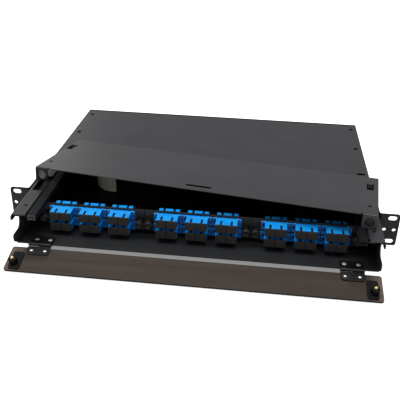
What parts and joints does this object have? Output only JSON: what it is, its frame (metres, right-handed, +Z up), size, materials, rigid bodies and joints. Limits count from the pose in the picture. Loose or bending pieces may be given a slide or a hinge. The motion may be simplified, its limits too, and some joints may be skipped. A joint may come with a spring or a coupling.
{
  "type": "fibre patch panel",
  "caption": "Rack-mounted fibre patch panel with a slide-out tray of duplex adapters behind a smoked hinged door, its lift-off front lid lying loose on top.",
  "frame": {"origin": "on the chassis underside, midway between the rack ears, in the plane of the ears' rear faces", "axes": "+X to the right seen from the front, +Y to the rear, +Z up"},
  "size_m": [0.4826, 0.3833, 0.0749],
  "materials": {
    "black_powder_coat": "fine satin powder coat, charcoal black",
    "black_tray_coat": "satin black coat",
    "black_ear_coat": "satin black coat",
    "black_hinge_coat": "semi-gloss black coat",
    "blue_pbt": "semi-gloss azure moulding",
    "dark_cap_plastic": "matt dark brown-black moulding",
    "black_nylon": "satin black moulding",
    "cream_abs": "matt cream moulding",
    "smoked_acrylic": "polished smoked brown, clear",
    "brass": "bright turned brass"
  },
  "bodies": {
    "chassis": {"chassis": "black_powder_coat", "rear_cover": "black_powder_coat", "rack_ear_left": "black_ear_coat", "rack_ear_right": "black_ear_coat"},
    "tray": {"slide_tray": "black_tray_coat", "adapter_plate_left": "black_tray_coat", "adapter_plate_middle": "black_tray_coat", "adapter_plate_right": "black_tray_coat", "fibre_spool": "cream_abs", "adapter_01": "blue_pbt", "adapter_02": "blue_pbt", "adapter_03": "blue_pbt", "adapter_04": "blue_pbt", "adapter_05": "blue_pbt", "adapter_06": "blue_pbt", "adapter_07": "blue_pbt", "adapter_08": "blue_pbt", "adapter_09": "blue_pbt", "adapter_10": "blue_pbt", "adapter_11": "blue_pbt", "adapter_12": "blue_pbt", "adapter_13": "blue_pbt", "adapter_14": "blue_pbt", "adapter_15": "blue_pbt", "adapter_16": "blue_pbt", "adapter_17": "blue_pbt", "adapter_18": "blue_pbt"},
    "lid": {"front_lid": "black_powder_coat"},
    "door": {"front_door": "smoked_acrylic", "door_hinge_left": "black_hinge_coat", "door_hinge_right": "black_hinge_coat", "latch_guide_left": "black_nylon", "latch_guide_right": "black_nylon"},
    "plunger_left": {"latch_plunger_left": "brass"},
    "plunger_right": {"latch_plunger_right": "brass"},
    "rivet_1": {"plate_rivet_1": "black_nylon"},
    "rivet_2": {"plate_rivet_2": "black_nylon"},
    "rivet_3": {"plate_rivet_3": "black_nylon"},
    "rivet_4": {"plate_rivet_4": "black_nylon"},
    "rivet_5": {"plate_rivet_5": "black_nylon"},
    "rivet_6": {"plate_rivet_6": "black_nylon"},
    "cap_01": {"dust_cap_01": "dark_cap_plastic"},
    "cap_02": {"dust_cap_02": "dark_cap_plastic"},
    "cap_03": {"dust_cap_03": "dark_cap_plastic"},
    "cap_04": {"dust_cap_04": "dark_cap_plastic"},
    "cap_05": {"dust_cap_05": "dark_cap_plastic"},
    "cap_06": {"dust_cap_06": "dark_cap_plastic"},
    "cap_07": {"dust_cap_07": "dark_cap_plastic"},
    "cap_08": {"dust_cap_08": "dark_cap_plastic"},
    "cap_09": {"dust_cap_09": "dark_cap_plastic"},
    "cap_10": {"dust_cap_10": "dark_cap_plastic"},
    "cap_11": {"dust_cap_11": "dark_cap_plastic"},
    "cap_12": {"dust_cap_12": "dark_cap_plastic"},
    "cap_13": {"dust_cap_13": "dark_cap_plastic"},
    "cap_14": {"dust_cap_14": "dark_cap_plastic"},
    "cap_15": {"dust_cap_15": "dark_cap_plastic"},
    "cap_16": {"dust_cap_16": "dark_cap_plastic"},
    "cap_17": {"dust_cap_17": "dark_cap_plastic"},
    "cap_18": {"dust_cap_18": "dark_cap_plastic"}
  },
  "joints": [
    {"name": "door_hinge", "type": "hinge", "parent": "chassis", "child": "door", "pos_m": [0, -0.067, 0.0035], "axis": [1, 0, 0], "range_deg": [-104, 0]},
    {"name": "tray_slide", "type": "slide", "parent": "chassis", "child": "tray", "axis": [0, -1, 0], "range_m": [0, 0.16]},
    {"name": "lid_lift", "type": "slide", "parent": "chassis", "child": "lid", "axis": [0, 0, 1], "range_m": [0, 0.06]},
    {"name": "plunger_pull_left", "type": "slide", "parent": "door", "child": "plunger_left", "axis": [0, 0.2419, -0.9703], "range_m": [0, 0.004]},
    {"name": "plunger_pull_right", "type": "slide", "parent": "door", "child": "plunger_right", "axis": [0, 0.2419, -0.9703], "range_m": [0, 0.004]},
    {"name": "rivet_pull_1", "type": "slide", "parent": "tray", "child": "rivet_1", "axis": [0, -1, 0], "range_m": [0, 0.008]},
    {"name": "rivet_pull_2", "type": "slide", "parent": "tray", "child": "rivet_2", "axis": [0, -1, 0], "range_m": [0, 0.008]},
    {"name": "rivet_pull_3", "type": "slide", "parent": "tray", "child": "rivet_3", "axis": [0, -1, 0], "range_m": [0, 0.008]},
    {"name": "rivet_pull_4", "type": "slide", "parent": "tray", "child": "rivet_4", "axis": [0, -1, 0], "range_m": [0, 0.008]},
    {"name": "rivet_pull_5", "type": "slide", "parent": "tray", "child": "rivet_5", "axis": [0, -1, 0], "range_m": [0, 0.008]},
    {"name": "rivet_pull_6", "type": "slide", "parent": "tray", "child": "rivet_6", "axis": [0, -1, 0], "range_m": [0, 0.008]},
    {"name": "cap_pull_01", "type": "slide", "parent": "tray", "child": "cap_01", "axis": [0, -1, 0], "range_m": [0, 0.009]},
    {"name": "cap_pull_02", "type": "slide", "parent": "tray", "child": "cap_02", "axis": [0, -1, 0], "range_m": [0, 0.009]},
    {"name": "cap_pull_03", "type": "slide", "parent": "tray", "child": "cap_03", "axis": [0, -1, 0], "range_m": [0, 0.009]},
    {"name": "cap_pull_04", "type": "slide", "parent": "tray", "child": "cap_04", "axis": [0, -1, 0], "range_m": [0, 0.009]},
    {"name": "cap_pull_05", "type": "slide", "parent": "tray", "child": "cap_05", "axis": [0, -1, 0], "range_m": [0, 0.009]},
    {"name": "cap_pull_06", "type": "slide", "parent": "tray", "child": "cap_06", "axis": [0, -1, 0], "range_m": [0, 0.009]},
    {"name": "cap_pull_07", "type": "slide", "parent": "tray", "child": "cap_07", "axis": [0, -1, 0], "range_m": [0, 0.009]},
    {"name": "cap_pull_08", "type": "slide", "parent": "tray", "child": "cap_08", "axis": [0, -1, 0], "range_m": [0, 0.009]},
    {"name": "cap_pull_09", "type": "slide", "parent": "tray", "child": "cap_09", "axis": [0, -1, 0], "range_m": [0, 0.009]},
    {"name": "cap_pull_10", "type": "slide", "parent": "tray", "child": "cap_10", "axis": [0, -1, 0], "range_m": [0, 0.009]},
    {"name": "cap_pull_11", "type": "slide", "parent": "tray", "child": "cap_11", "axis": [0, -1, 0], "range_m": [0, 0.009]},
    {"name": "cap_pull_12", "type": "slide", "parent": "tray", "child": "cap_12", "axis": [0, -1, 0], "range_m": [0, 0.009]},
    {"name": "cap_pull_13", "type": "slide", "parent": "tray", "child": "cap_13", "axis": [0, -1, 0], "range_m": [0, 0.009]},
    {"name": "cap_pull_14", "type": "slide", "parent": "tray", "child": "cap_14", "axis": [0, -1, 0], "range_m": [0, 0.009]},
    {"name": "cap_pull_15", "type": "slide", "parent": "tray", "child": "cap_15", "axis": [0, -1, 0], "range_m": [0, 0.009]},
    {"name": "cap_pull_16", "type": "slide", "parent": "tray", "child": "cap_16", "axis": [0, -1, 0], "range_m": [0, 0.009]},
    {"name": "cap_pull_17", "type": "slide", "parent": "tray", "child": "cap_17", "axis": [0, -1, 0], "range_m": [0, 0.009]},
    {"name": "cap_pull_18", "type": "slide", "parent": "tray", "child": "cap_18", "axis": [0, -1, 0], "range_m": [0, 0.009]}
  ]
}
